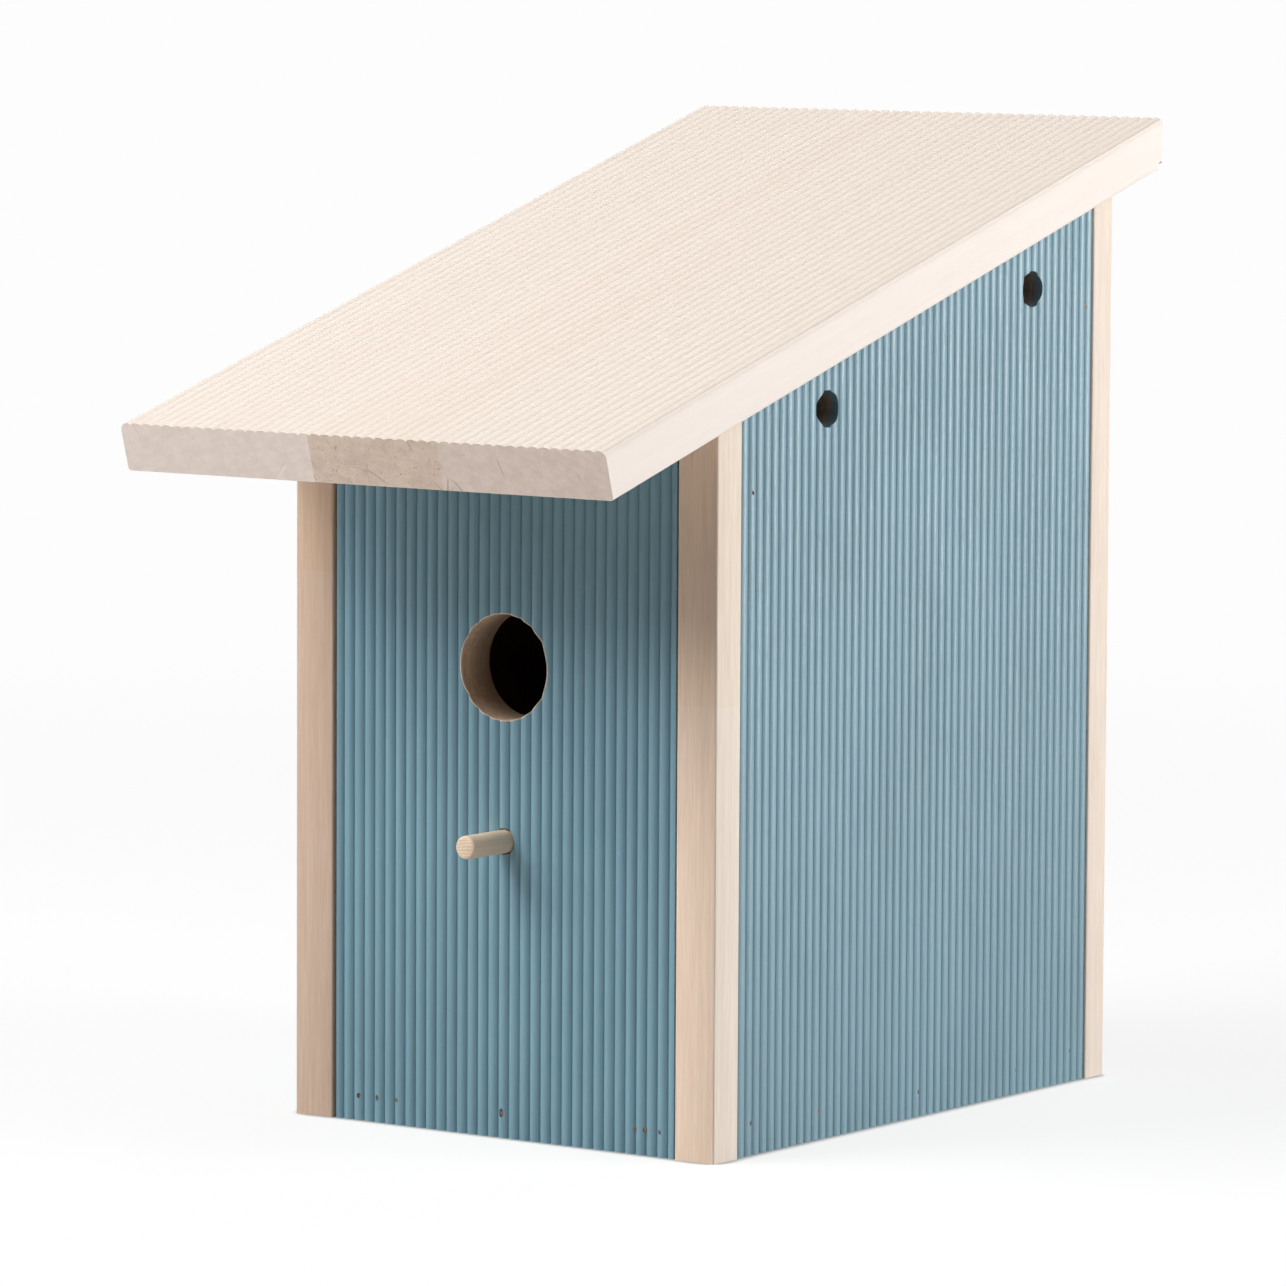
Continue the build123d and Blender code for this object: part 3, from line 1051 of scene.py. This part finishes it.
@dataclass
class Shell:
    """The four ribbed walls, with their sizes from the posts and boards of the frame.

    Attributes:
        post_front: The corners of the front right post's box.
        post_rear: The corners of the rear right post's box.
        side: The corners of the right wall's box.
        front: The corners of the front wall's box.
        floor: The corners of the floor board's box.
        side_gap: The shadow gap between a side wall's ribs and the front post.
        perch_ring: The gap round the perch where it enters the wall.
        side_paint_sheen: The side walls' paint, a less saturated copy of the front's paint as painted sheen.
        run_in_and_shade: The thin paint that has run into the holes, darkened as painted shade inside them.
    """

    post_front: tuple[Vector, Vector] = field(default_factory=lambda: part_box("front_right_post"))
    post_rear: tuple[Vector, Vector] = field(default_factory=lambda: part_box("rear_right_post"))
    side: tuple[Vector, Vector] = field(default_factory=lambda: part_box("right_panel"))
    front: tuple[Vector, Vector] = field(default_factory=lambda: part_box("front_panel"))
    floor: tuple[Vector, Vector] = field(default_factory=lambda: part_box("floor_board"))
    side_gap: float = 0.8 * MM
    perch_ring: float = 0.5 * MM
    side_paint_sheen: Colour = (0.176, 0.298, 0.356)
    run_in_and_shade: Colour = (0.11, 0.2, 0.25)

    def end_wall(self, facing: Facing) -> Wall:
        """Plans the front or the back wall.

        Args:
            facing: FRONT or BACK.

        Returns:
            The wall, ready to build.
        """
        at_front = facing is Facing.FRONT
        half = self.post_front[0].x
        seen = half - SHADOW_GAP
        crest = -self.front[0].y
        behind = -self.post_front[1].y if at_front else self.post_rear[0].y
        inner, back = self.floor[1].x, self.floor[1].y
        shoulder = crest - SHADOW_DEPTH
        right = [(seen, shoulder), (half, shoulder), (half, behind), (inner, behind), (inner, back)]
        outline = right + [(-x, y) for x, y in reversed(right)]
        row = RibRow(-seen, seen, RIB_PITCH, RIB_PITCH / 2, RIB_DEPTH, crest)
        if at_front:
            low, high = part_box("perch")
            seat = (low + high) / 2
            seat.y = high.y
            bores = [(opening("entrance"), ENTRANCE_R), (seat, (high.z - low.z) / 2 + self.perch_ring)]
            return Wall("front_panel", facing, row, outline, bores, "front_brads")
        screws = islands("hanging_batten_screws")
        bores = [(Vector((0, screws[0][0].y, z)), WALL_SCREW_R) for z in self.wall_screws()]
        return Wall("back_panel", facing, row, outline, bores, "back_brads")

    @staticmethod
    def wall_screws() -> list[float]:
        """Finds the holes for the two wall screws.

        Returns:
            Their heights.
        """
        mount = next(m for m in frame["record"]["mounts"] if m["name"] == "wall_screws")
        half = mount["dims"]["spacing_y_mm"] * MM / 2
        return [mount["pos_m"][2] - half, mount["pos_m"][2] + half]

    def side_wall(self, facing: Facing) -> Wall:
        """Plans the left or the right wall.

        Args:
            facing: LEFT or RIGHT.

        Returns:
            The wall, ready to build.
        """
        name = facing.name.lower()
        crest, inner = self.side[1].x, self.side[0].x
        front, rear = -self.side[0].y, self.side[1].y
        shoulder = crest - SHADOW_DEPTH
        seen = front - self.side_gap
        if facing is Facing.RIGHT:
            outline = [(seen, shoulder), (front, shoulder), (front, inner), (-rear, inner)]
            row = RibRow(-rear, seen, RIB_PITCH, 0.0, RIB_DEPTH, crest)
        else:
            outline = [(rear, inner), (-front, inner), (-front, shoulder), (-seen, shoulder)]
            row = RibRow(-seen, rear, RIB_PITCH, 0.0, RIB_DEPTH, crest)
        bores = [(opening(f"{name}_{end}_vent"), VENT_R) for end in ("front", "rear")]
        return Wall(f"{name}_panel", facing, row, outline, bores, f"{name}_brads")

    def build(self) -> None:
        """Makes the four walls, each with its own paint."""
        dent = BareWood("dented_wood", (0.16, 0.11, 0.085), (0.07, 0.045, 0.035), width=0.4).build()
        sawn = BareWood("sawn_inner_wood", (0.42, 0.30, 0.2), (0.27, 0.17, 0.1), width=1.6, seed=5).build()
        # both bores carry painted shade that deepens into the hole
        bored = Bore(
            "bored_wood", (0.78, 0.58, 0.42), (0.42, 0.27, 0.17), self.run_in_and_shade, painted=0.0, axis=1,
            mouth=-self.front[0].y / MM,
        ).build()
        # the vent's wood and run-in paint are dark as painted shade inside the small holes
        vent = Bore(
            "vent_wood", (0.3, 0.235, 0.19), (0.16, 0.12, 0.09), self.run_in_and_shade, painted=3.0, axis=0,
            mouth=self.side[1].x / MM, deep=0.45,
        ).build()
        entrance = (0.0, opening("entrance").z / MM, ENTRANCE_R / MM)
        for facing in (Facing.FRONT, Facing.BACK):
            name = facing.name.lower()
            holes = (entrance,) if facing is Facing.FRONT else ()
            paint = Paint(f"blue_paint_{name}", 0, 0.0, holes, seed=len(name)).build()
            self.end_wall(facing).build([paint, bored, sawn, dent])
        for facing in (Facing.LEFT, Facing.RIGHT):
            name = facing.name.lower()
            # the side walls get a less saturated copy of the paint, a painted sheen
            paint = Paint(
                f"blue_paint_{name}", 1, 0.5, (), colour=self.side_paint_sheen, seed=11.0 * facing.value
            ).build()
            self.side_wall(facing).build([paint, vent, sawn, dent])


# ---- boards ----


class Axis(enum.Enum):
    """The direction of a board's fibres, with the turn that brings it to Z in a pattern."""

    X = (0.0, math.pi / 2, 0.0)
    Y = (math.pi / 2, 0.0, 0.0)
    Z = (0.0, 0.0, 0.0)


@dataclass
class Board:
    """A straight board or stick with eased edges, from its CAD node's box.

    Attributes:
        node: The CAD node.
        body: The body that it rides on.
        slot: The record's material slot; it is not used.
        axis: The direction of its fibres.
        ease: The rounding of its edges.
        sloped: Whether its top is cut along the roof's pitch.
        bores: The centre and radius of each hole along Y.
    """

    node: str
    body: str
    slot: str
    axis: Axis
    ease: float = 0.6 * MM
    sloped: bool = False
    bores: list[tuple[Vector, float]] = field(default_factory=list)

    def build(self, long: bpy.types.Material, end: bpy.types.Material) -> bpy.types.Object:
        """Makes the board.

        Args:
            long: The finish along the fibres.
            end: The finish of the two ends and of the bored holes.

        Returns:
            The piece.
        """
        low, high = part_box(self.node)
        size = high - low
        place = Matrix.Translation((low + high) / 2) @ Matrix.Diagonal((*size, 1.0))
        bm = bmesh.new()
        bmesh.ops.create_cube(bm, size=1.0, matrix=place)
        number = "XYZ".index(self.axis.name)
        along = [e for e in bm.edges if abs((e.verts[0].co - e.verts[1].co)[number]) > size[number] / 2]
        edges = along if self.sloped and self.axis is Axis.Z else bm.edges[:]
        bmesh.ops.bevel(
            bm, geom=edges, offset=self.ease, segments=3, profile=0.5, affect="EDGES", material=-1
        )
        if self.sloped:
            saw(bm, Vector((0, high.y, high.z)), pitch_plane()[1])
        if self.bores:
            tool = bmesh.new()
            lying = Matrix.Rotation(math.pi / 2, 4, "X")
            for centre, radius in self.bores:
                rod(tool, (radius, radius), BORE_LENGTH, 48, Matrix.Translation(centre) @ lying, BORED)
            bm = carve(bm, tool)
        for face in bm.faces:
            if face.normal.length > 0.5 and abs(face.normal[number]) > 0.8:
                face.material_index = 1
        return piece(bm, self.node + "_board", [self.node], self.body, [long, end])


@dataclass
class Carcass:
    """The posts, floor, inner battens, hanging batten and roof cleats.

    Attributes:
        post_ease: The rounding of the posts' edges.
        pale_sheen_skin: The depth in millimetres of the front right post's greyer outer skin, paler wood with
            painted sheen.
        post_tones: The light and the dark wood of each post, and the height of its finger joint in
            millimetres, or None.
    """

    post_ease: float = 0.7 * MM
    pale_sheen_skin: float = 0.4
    post_tones: dict[str, tuple[Colour, Colour, float | None]] = field(
        default_factory=lambda: {
            "front_left_post": ((0.66, 0.495, 0.38), (0.48, 0.32, 0.22), 188.0),
            "front_right_post": ((0.91, 0.715, 0.57), (0.67, 0.485, 0.35), 152.0),
            "rear_left_post": ((0.72, 0.63, 0.55), (0.56, 0.44, 0.35), None),
            "rear_right_post": ((0.72, 0.63, 0.55), (0.56, 0.44, 0.35), None),
        }
    )

    def build(self) -> None:
        """Makes every board of the carcass."""
        end = EndGrain("post_end_grain", (0.6, 0.47, 0.36), (0.36, 0.24, 0.16), (40.0, -60.0)).build()
        for number, (node, (light, dark, change)) in enumerate(self.post_tones.items()):
            wood = BareWood(
                f"{node}_wood", light, dark, seed=13.0 * number + 3, width=0.3,
                # tint above the finger joint: the other board's tone and painted shade under the roof
                change=change, warm=(1.0, 0.96, 0.9) if "left" in node else (0.985, 0.96, 0.93),
                # the front right post's outer face is greyer: paler wood and painted sheen
                outer=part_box(node)[1].x / MM - self.pale_sheen_skin if node == "front_right_post" else None,
            ).build()
            Board(node, "box", "post_wood", Axis.Z, self.post_ease, sloped=True).build(wood, end)
        for axis, nodes in self.inner_boards().items():
            raw = BareWood(
                f"raw_wood_{axis.name.lower()}", (0.6, 0.45, 0.3), (0.42, 0.28, 0.17), along=axis.value,
                width=1.5, seed=31,
            ).build()
            for node, body in nodes.items():
                cleat = node.startswith("roof_cleat")
                bores = self.screw_holes() if node == "hanging_batten" else []
                Board(node, body, "raw_wood", axis, sloped=cleat, bores=bores).build(raw, end)

    @staticmethod
    def inner_boards() -> dict[Axis, dict[str, str]]:
        """Lists the plain boards.

        Returns:
            The body of each, by the direction of its fibres and its node.
        """
        battens = {f"{end}_{side}_batten": "box" for end in ("front", "rear") for side in ("left", "right")}
        return {
            Axis.Z: {**battens, "hanging_batten": "box"},
            Axis.Y: {"floor_board": "box"},
            Axis.X: {"roof_cleat_front": "roof", "roof_cleat_rear": "roof"},
        }

    @staticmethod
    def screw_holes() -> list[tuple[Vector, float]]:
        """The wall screws' holes through the hanging batten."""
        middle = sum(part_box("hanging_batten"), Vector()) / 2
        return [(Vector((0, middle.y, z)), WALL_SCREW_R) for z in Shell.wall_screws()]


# ---- roof ----


@dataclass
class Roof:
    """The roof board of three staves with ribs down its slope.

    Attributes:
        thick: The board's thickness over its ribs.
        depth: The depth of its grooves.
        ribs: How many ribs span the roof.
        round_top: The rounding of the long top edges.
        round_low: The rounding of the long bottom edges.
        rows: How many rows of faces a stave has.
        chip: The size of the chip in the rear right corner.
    """

    thick: float = 17.0 * MM
    depth: float = 0.7 * MM
    ribs: int = 45
    round_top: float = 2.9 * MM
    round_low: float = 1.0 * MM
    rows: int = 8
    chip: float = 2.6 * MM

    def frame_of(self) -> Matrix:
        """Finds the place of a board that is drawn with its ribs up +Y and raised along +Z.

        Returns:
            The matrix that lays it on the slope, from its rear end down.
        """
        low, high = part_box("roof_stave_left")
        up = Vector((0, -math.sin(SLOPE), math.cos(SLOPE)))
        down_slope = Vector((0, -math.cos(SLOPE), -math.sin(SLOPE)))
        rear_top = Vector((0, high.y, high.z))
        extra = self.thick * math.tan(SLOPE)
        corner = rear_top - up * self.thick - down_slope * extra
        turn = Matrix((Vector((1, 0, 0)), up, down_slope)).transposed().to_4x4()
        return Matrix.Translation(corner) @ turn

    def stave(self, node: str, finishes: Sequence[bpy.types.Material]) -> bpy.types.Object:
        """Makes one stave.

        Args:
            node: Its CAD node.
            finishes: The finish along the fibres, that of the ends and that of the long edges.

        Returns:
            finishes: The finish along the fibres, that of the ends and that of the long edges, edge grain
                darkened as painted shade.
        """
        low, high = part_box(node)
        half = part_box("roof_stave_right")[1].x
        pitch = 2 * half / self.ribs
        shoulder = half - self.round_top - 0.1 * MM
        row = RibRow(
            max(low.x, -shoulder), min(high.x, shoulder), pitch, pitch / 2, self.depth, self.thick, steps=6
        )
        bm = bmesh.new()
        ends = row.draw(bm)
        corners = [(x, e.co.y) for x, e in ((high.x, ends[0]), (low.x, ends[1]))]
        points = [corners[0]] if high.x > row.stop + MM else []
        points += [(high.x, 0.0), (low.x, 0.0)]
        points += [corners[1]] if low.x < row.start - MM else []
        outline_face(bm, [Vector((x, y, 0)) for x, y in points], list(ends))
        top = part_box("roof_stave_left")
        length = (top[1].y - top[0].y) / math.cos(SLOPE)
        raise_outline(bm, length + self.thick * math.tan(SLOPE) + self.thick, self.rows)
        self.round_edges(bm, half)
        bm.transform(self.frame_of())
        saw(bm, Vector((0, high.y, 0)), Vector((0, 1, 0)))
        nose = Vector((0, -math.cos(SLOPE), -math.sin(SLOPE)))
        front_top = Vector((0, low.y, low.z)) + Vector((0, 0, self.thick * math.cos(SLOPE)))
        saw(bm, front_top, nose)
        for face in bm.faces:
            if abs(face.normal.dot(nose)) > 0.9 or face.normal.y > 0.9:
                face.material_index = 1
            elif abs(face.normal.x) > 0.8 and abs(face.calc_center_median().x) > shoulder:
                face.material_index = 2
        if node == "roof_stave_right":
            bm = self.chipped(bm, high)
        return piece(bm, node + "_ribbed", [node], "roof", finishes)

    def round_edges(self, bm: bmesh.types.BMesh, half: float) -> None:
        """Rounds the long outer edges of a board that is still square.

        Args:
            bm: The board's mesh.
            half: Half the roof's width, where the outer edges lie.
        """
        for low_edge, radius in ((False, self.round_top), (True, self.round_low)):
            edges = [
                e for e in bm.edges
                if all(abs(abs(v.co.x) - half) < WELD for v in e.verts)
                and abs(e.verts[0].co.z - e.verts[1].co.z) > MM
                and all((v.co.y < self.thick / 2) == low_edge for v in e.verts)
            ]
            if edges:
                bmesh.ops.bevel(
                    bm, geom=edges, offset=radius, segments=5, profile=0.5, affect="EDGES", material=-1
                )

    def chipped(self, bm: bmesh.types.BMesh, high: Vector) -> bmesh.types.BMesh:
        """Knocks a small chip out of the rear right corner, low down.

        Args:
            bm: The right stave's mesh, which is used up.
            high: The highest corner of its box.

        Returns:
            The chipped stave.
        """
        bottom = high.z - self.thick / math.cos(SLOPE)
        tool = bmesh.new()
        place = Matrix.Translation((high.x + 0.8 * MM, high.y - MM, bottom + 0.4 * MM))
        rod(tool, (self.chip, self.chip - MM), 5 * MM, 7, place @ Matrix.Rotation(0.9, 4, "Y"), BORED)
        return carve(bm, tool)

    def build(self) -> None:
        """Makes the three staves."""
        tilt = (math.pi / 2 - SLOPE, 0.0, 0.0)
        tops = {
            "left": ((0.83, 0.735, 0.655), (0.72, 0.585, 0.48)),
            "middle": ((0.83, 0.73, 0.645), (0.71, 0.575, 0.47)),
            "right": ((0.83, 0.735, 0.655), (0.73, 0.595, 0.49)),
        }
        ends = {
            "left": ((0.86, 0.75, 0.685), (0.55, 0.42, 0.34), 0.3, 0.0),
            "middle": ((0.75, 0.605, 0.5), (0.3, 0.2, 0.15), 1.0, 0.3),
            "right": ((0.78, 0.65, 0.57), (0.4, 0.3, 0.24), 0.4, 0.7),
        }
        # the long side faces get a darker copy of the roof wood: partly edge grain, partly painted shade
        edge = BareWood(
            "roof_edge", (0.74, 0.675, 0.63), (0.66, 0.56, 0.48), along=tilt, width=1.2, seed=77,
            contrast=0.2, clouds=0.3,
        ).build()
        for number, (side, (light, dark)) in enumerate(tops.items()):
            pale, spot, speck, checked = ends[side]
            along = BareWood(
                f"roof_wood_{side}", light, dark, along=tilt, width=1.4, seed=41.0 + 7 * number,
                contrast=0.06, clouds=0.25, calm=(0.0, -math.sin(SLOPE), math.cos(SLOPE)),
            ).build()
            end = EndGrain(
                f"roof_end_{side}", pale, spot, (30.0 - 50 * number, 45.0), along=tilt,
                speck=speck, checked=checked,
            ).build()
            self.stave(f"roof_stave_{side}", [along, end, edge])


# ---- small pieces ----


@dataclass
class Perch:
    """The dowel under the entrance.

    Attributes:
        rounding: The rounding of its free end.
    """

    rounding: float = 0.9 * MM

    def build(self) -> bpy.types.Object:
        """Makes the dowel, with a softened free end.

        Returns:
            The piece.
        """
        low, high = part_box("perch")
        size, middle = high - low, (low + high) / 2
        bm = bmesh.new()
        place = Matrix.Translation(middle) @ Matrix.Rotation(math.pi / 2, 4, "X")
        rod(bm, (size.x / 2, size.x / 2), size.y, 64, place)
        tip = [e for e in bm.edges if all(v.co.y < low.y + WELD for v in e.verts)]
        bmesh.ops.bevel(
            bm, geom=tip, offset=self.rounding, segments=4, profile=0.5, affect="EDGES", material=-1
        )
        for face in bm.faces:
            if abs(face.normal.y) > 0.9:
                face.material_index = 1
        along = BareWood(
            "dowel_wood", (0.9, 0.71, 0.53), (0.66, 0.47, 0.31), along=Axis.Y.value, width=0.4, seed=71
        ).build()
        end = EndGrain(
            "dowel_end", (0.88, 0.69, 0.52), (0.42, 0.28, 0.18), (0.6, middle.z / MM - 1.0),
            along=Axis.Y.value, ring=1.1, speck=0.2, ringed=0.4, checked=0.0,
        ).build()
        return piece(bm, "perch_dowel", ["perch"], "box", [along, end])


@dataclass
class Screws:
    """A group of countersunk wood screws with cross recesses.

    Attributes:
        node: The CAD node.
        body: The body that they ride on.
        outward: The direction in which the heads face.
        recess: The width of the cross recess.
        recess_depth: How deep it goes.
        recess_turn: How far it is turned, in radians.
    """

    node: str
    body: str
    outward: Vector
    recess: float = 0.7 * MM
    recess_depth: float = 1.0 * MM
    recess_turn: float = 0.3

    def build(self, steel: bpy.types.Material) -> bpy.types.Object:
        """Makes the group.

        Args:
            steel: The finish.

        Returns:
            The piece.
        """
        bm, slots = bmesh.new(), bmesh.new()
        turn = self.outward.to_track_quat("Z", "Y").to_matrix().to_4x4()
        for low, high in islands(self.node):
            middle, length = (low + high) / 2, abs(self.outward.dot(high - low))
            across = (high - low).cross(self.outward)
            head_r = max(abs(c) for c in across) / 2
            top = Matrix.Translation(middle + self.outward * length / 2) @ turn
            shank_r = head_r / 2
            sink = head_r - shank_r
            rod(bm, (shank_r, head_r), sink, 40, top @ Matrix.Translation((0, 0, -sink / 2)))
            shank = length - sink
            rod(bm, (0.2 * MM, shank_r), shank, 24, top @ Matrix.Translation((0, 0, -length + shank / 2)))
            bar = Matrix.Diagonal((head_r * 1.1, self.recess, 2 * self.recess_depth, 1))
            for angle in (self.recess_turn, self.recess_turn + math.pi / 2):
                cut = top @ Matrix.Rotation(angle, 4, "Z") @ bar
                bmesh.ops.create_cube(slots, size=1.0, matrix=cut)
        bmesh.ops.remove_doubles(bm, verts=bm.verts[:], dist=1e-7)
        return piece(carve(bm, slots), self.node + "_heads", [self.node], self.body, [steel])


class Hardware:
    """The nails and screws."""

    def build(self) -> None:
        """Dresses the nails and makes the screws."""
        nail = Metal("nail_steel", (0.3, 0.28, 0.26), (0.16, 0.085, 0.05), stained=0.9).build()
        zinc = Metal("screw_zinc", (0.62, 0.6, 0.55), (0.4, 0.37, 0.31), stained=0.2).build()
        for side in ("front", "back", "left", "right"):
            frame["nodes"][f"{side}_brads"].material_slots[0].material = nail
        Screws("hanging_batten_screws", "box", Vector((0, 1, 0))).build(zinc)
        Screws("roof_cleat_screws", "roof", Vector((0, 0, -1))).build(zinc)


# ---- studio ----


@dataclass
class Studio:
    """A white sweep, broad soft lamps and the camera.

    Attributes:
        azimuth: The camera's direction from the front, in degrees.
        elevation: Its height above the horizon, in degrees.
        roll: Its tilt, in degrees.
        distance: How far it stands from its target.
        target: The point that it looks at.
        lens: Its focal length in millimetres.
        sensor: The sensor's width in millimetres.
        middle: The point of the nest box that the lamps face.
        lamp_size: The side of each square lamp.
        lamp_distance: How far each lamp stands from the nest box.
        lamps: The azimuth and the elevation of each lamp, in degrees, and its power in watts.
    """

    azimuth: float = 35.554
    elevation: float = 5.742
    roll: float = -0.304
    distance: float = 2663.2 * MM
    target: Vector = field(default_factory=lambda: Vector((-20.6, -10.9, 158.35)) * MM)
    lens: float = 213.44
    sensor: float = 36.0
    middle: Vector = field(default_factory=lambda: Vector((0, 0, 170)) * MM)
    lamp_size: float = 1.1
    lamp_distance: float = 2.2
    lamps: dict[str, tuple[float, float, float]] = field(
        default_factory=lambda: {
            "lamp_right": (120, 7, 42),
            "lamp_right_high": (105, 30, 18),
            "lamp_back": (180, 45, 9),
            "lamp_front": (-32, 41, 42),
            "lamp_left": (-62, 24, 19),
            "lamp_top": (40, 86, 1),
        }
    )

    def build(self) -> None:
        """Makes the camera, the floor, the lamps and the sky."""
        self.camera()
        self.floor()
        self.sky()
        for name, (azimuth, elevation, power) in self.lamps.items():
            self.lamp(name, azimuth, elevation, power)

    @staticmethod
    def toward(azimuth: float, elevation: float) -> Vector:
        """The direction that two angles in degrees give, from the nest box."""
        a, e = math.radians(azimuth), math.radians(elevation)
        return Vector((math.sin(a) * math.cos(e), -math.cos(a) * math.cos(e), math.sin(e)))

    def camera(self) -> None:
        """Makes the scene's camera."""
        data = bpy.data.cameras.new("camera")
        data.lens, data.sensor_width = self.lens, self.sensor
        data.clip_start, data.clip_end = 0.1, 50.0
        made = bpy.data.objects.new("camera", data)
        bpy.context.scene.collection.objects.link(made)
        back = self.toward(self.azimuth, self.elevation)
        tilt = Matrix.Rotation(math.radians(-self.roll), 3, "Z")
        turn = back.to_track_quat("Z", "Y").to_matrix() @ tilt
        made.matrix_world = Matrix.Translation(self.target + back * self.distance) @ turn.to_4x4()
        bpy.context.scene.camera = made

    @staticmethod
    def floor() -> None:
        """Makes the floor: white to the eye, with a painted contact shadow at the pieces, and throwing back
        little light.
        """
        bm = bmesh.new()
        bmesh.ops.create_grid(bm, x_segments=1, y_segments=1, size=6.0)
        mesh = bpy.data.meshes.new("floor")
        bm.to_mesh(mesh)
        bm.free()
        made, g, shader, mm = material("studio_floor")
        by_eye = g.node("ShaderNodeLightPath").outputs["Is Camera Ray"]
        g.feed(shader.inputs["Base Color"], g.mix(by_eye, (0.42, 0.41, 0.4), (0.93, 0.93, 0.93)))
        g.feed(shader.inputs["Roughness"], 0.75)
        touching = g.node("ShaderNodeAmbientOcclusion")
        g.feed(touching.inputs["Distance"], 9 * MM)
        glow = g.node("ShaderNodeEmission")
        # painted contact shadow: the floor's glow turns dark where ambient occlusion finds a piece close by
        open_floor = g.step(touching.outputs["AO"], 0.48, 0.8)
        g.feed(glow.inputs["Color"], g.mix(open_floor, (0.2, 0.2, 0.2), WHITE))
        far = g.step(g.vector("LENGTH", mm, result="Value"), 400.0, 1600.0)
        share = g.math("ADD", 0.8, g.math("MULTIPLY", far, 0.2))
        mixed = g.node("ShaderNodeMixShader")
        g.feed(mixed.inputs[0], g.math("MULTIPLY", share, by_eye))
        g.feed(mixed.inputs[1], shader.outputs["BSDF"])
        g.feed(mixed.inputs[2], glow.outputs["Emission"])
        output = next(n for n in g.tree.nodes if n.type == "OUTPUT_MATERIAL")
        g.feed(output.inputs["Surface"], mixed.outputs[0])
        mesh.materials.append(made)
        floor = bpy.data.objects.new("studio_floor", mesh)
        bpy.context.scene.collection.objects.link(floor)

    @staticmethod
    def sky() -> None:
        """Makes a white surround that lights softly."""
        world = bpy.data.worlds.new("surround")
        bpy.context.scene.world = world
        world.use_nodes = True
        g = Graph(world.node_tree)
        g.tree.nodes.clear()
        seen = g.node("ShaderNodeBackground")
        g.feed(seen.inputs["Color"], WHITE)
        g.feed(seen.inputs["Strength"], 1.0)
        soft = g.node("ShaderNodeBackground")
        g.feed(soft.inputs["Color"], (1.0, 1.0, 1.0))
        mirrored = g.math("MULTIPLY", g.node("ShaderNodeLightPath").outputs["Is Glossy Ray"], 0.35)
        g.feed(soft.inputs["Strength"], g.math("ADD", 0.03, mirrored))
        choice = g.node("ShaderNodeMixShader")
        g.feed(choice.inputs[0], g.node("ShaderNodeLightPath").outputs["Is Camera Ray"])
        g.feed(choice.inputs[1], soft.outputs[0])
        g.feed(choice.inputs[2], seen.outputs[0])
        g.feed(g.node("ShaderNodeOutputWorld").inputs["Surface"], choice.outputs[0])

    def lamp(self, name: str, azimuth: float, elevation: float, power: float) -> None:
        """Makes one broad soft lamp that faces the nest box.

        Args:
            name: The lamp's name.
            azimuth: Its direction, in degrees.
            elevation: Its height above the horizon, in degrees.
            power: Its power, in watts.
        """
        data = bpy.data.lights.new(name, "AREA")
        data.shape, data.size, data.energy = "SQUARE", self.lamp_size, power
        made = bpy.data.objects.new(name, data)
        bpy.context.scene.collection.objects.link(made)
        back = self.toward(azimuth, elevation)
        turn = back.to_track_quat("Z", "Y").to_matrix().to_4x4()
        made.matrix_world = Matrix.Translation(self.middle + back * self.lamp_distance) @ turn


def main() -> None:
    """Builds the studio and every piece in order."""
    logging.basicConfig(level=logging.INFO, format="%(name)s: %(message)s")
    bpy.context.scene.view_settings.view_transform = "Standard"
    Studio().build()
    Shell().build()
    Carcass().build()
    Roof().build()
    Perch().build()
    Hardware().build()


if __name__ == "__main__":
    main()
